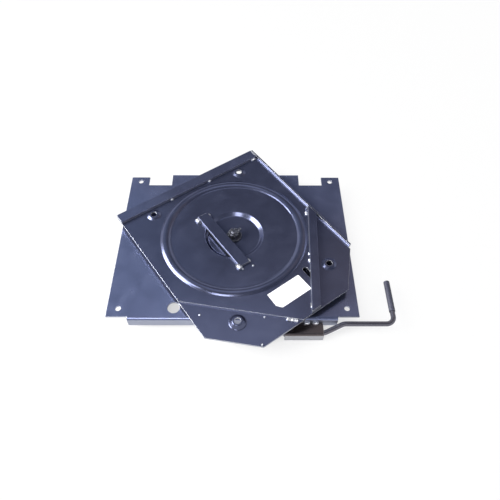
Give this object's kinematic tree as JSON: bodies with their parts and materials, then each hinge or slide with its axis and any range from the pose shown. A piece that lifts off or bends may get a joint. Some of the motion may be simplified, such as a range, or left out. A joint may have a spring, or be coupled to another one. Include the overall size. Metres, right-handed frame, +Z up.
{
  "type": "swivel seat base",
  "caption": "Low swivel base for a camper seat: a folded base plate, a pressed turntable plate on a centre bolt and a bent side lever that draws the locking pin.",
  "frame": {"origin": "on the pivot axis, in the plane of the base plate's underside", "axes": "+Z up along the pivot axis, +Y to the rear, +X to the side with the lever's handle"},
  "size_m": [0.4702, 0.4213, 0.05],
  "materials": {
    "black_paint": "satin",
    "dark_steel": "satin",
    "nylon": "matte",
    "soft_vinyl": "satin"
  },
  "bodies": {
    "base": {"base_plate": "black_paint", "bearing_ring": "nylon", "pivot_bush": "nylon", "thrust_washer": "nylon", "lever_bracket": "black_paint", "rod_bushes": "nylon", "return_spring": "dark_steel", "latch_ears": "black_paint", "latch_pin": "dark_steel"},
    "turntable": {"swivel_plate": "black_paint", "corner_doubler": "black_paint", "rear_bar": "black_paint", "brace_bar": "black_paint", "bridge_strap": "black_paint", "pivot_bolt": "dark_steel", "lower_washer": "dark_steel", "nut_washer": "dark_steel", "pivot_nut": "dark_steel", "split_pin": "dark_steel"},
    "lever": {"lever_rod": "black_paint", "lever_grip": "soft_vinyl", "rod_collar": "black_paint"},
    "latch": {"latch_arm": "black_paint", "lock_pin": "dark_steel"}
  },
  "joints": [
    {"name": "seat_swivel", "type": "hinge", "parent": "base", "child": "turntable", "pos_m": [0, 0, 0], "axis": [0, 0, 1], "range_deg": [-35.5, 144.5]},
    {"name": "lever_lift", "type": "hinge", "parent": "base", "child": "lever", "pos_m": [0.0535, -0.1725, -0.0175], "axis": [1, 0, 0], "range_deg": [0, 27], "stiffness_Nm_per_rad": 0.3, "springref_deg": -28.65},
    {"name": "latch_rock", "type": "hinge", "parent": "base", "child": "latch", "pos_m": [0.0535, -0.141, -0.011], "axis": [1, 0, 0], "range_deg": [-12.6, 0]}
  ],
  "couplings": [
    {"joint": "latch_rock", "follows": "lever_lift", "ratio": -0.46}
  ]
}
